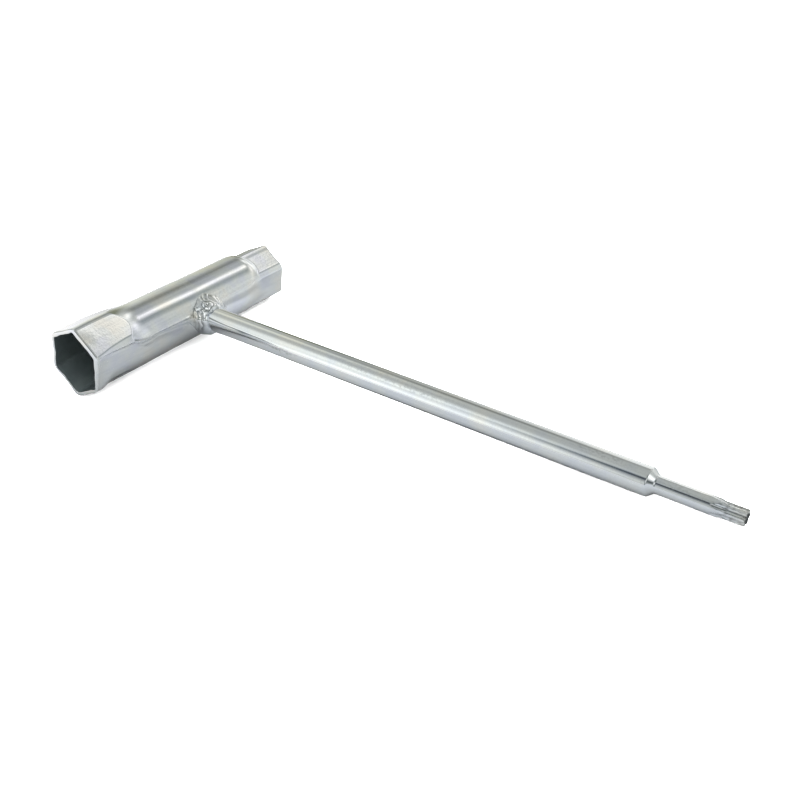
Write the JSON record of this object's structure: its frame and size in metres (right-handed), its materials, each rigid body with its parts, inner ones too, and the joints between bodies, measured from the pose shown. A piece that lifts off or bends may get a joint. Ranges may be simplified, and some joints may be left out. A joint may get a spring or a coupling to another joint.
{
  "type": "t-handle box spanner",
  "caption": "T-shaped box spanner: a steel tube with a hexagon socket pressed into each end, and a round side bar, welded on, that ends in a six-lobe driver tip.",
  "frame": {"origin": "crossing of the tube's axis and the bar's axis, inside the tube", "axes": "+X along the bar towards its six-lobe tip; +Y along the tube towards the small socket, so the large socket opens towards -Y; +Z at a right angle to both"},
  "size_m": [0.2061, 0.0852, 0.0246],
  "materials": {
    "tube_zinc": "satin bright zinc plate on drawn steel tube, with faint draw lines",
    "bar_zinc": "bright zinc plate on a smooth drawn steel bar",
    "weld_zinc": "bright zinc plate on a rippled weld"
  },
  "bodies": {
    "root": {"socket_tube": "tube_zinc", "driver_bar": "bar_zinc", "weld_bead": "weld_zinc"}
  },
  "joints": []
}
